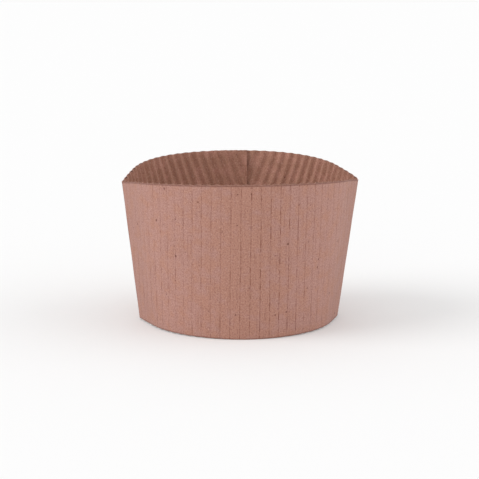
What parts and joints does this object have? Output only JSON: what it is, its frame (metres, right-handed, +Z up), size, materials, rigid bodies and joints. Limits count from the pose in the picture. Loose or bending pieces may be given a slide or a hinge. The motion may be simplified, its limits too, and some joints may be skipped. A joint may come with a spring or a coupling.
{
  "type": "coffee cup sleeve",
  "caption": "Kraft corrugated sleeve that slides over a tapered paper cup, smooth outside and fluted inside, with two side folds and a glued lap at the back.",
  "frame": {"origin": "middle of the lower edge, on the plane that the sleeve stands on", "axes": "+Z up, towards the wide upper edge; +X and -X through the two side folds; -Y out of the whole front panel; +Y out of the back panel with the glued lap"},
  "size_m": [0.0856, 0.0826, 0.0562],
  "materials": {
    "kraft_board": "matte brown kraft paper, uncoated"
  },
  "bodies": {
    "root": {"sleeve": "kraft_board"}
  },
  "joints": []
}
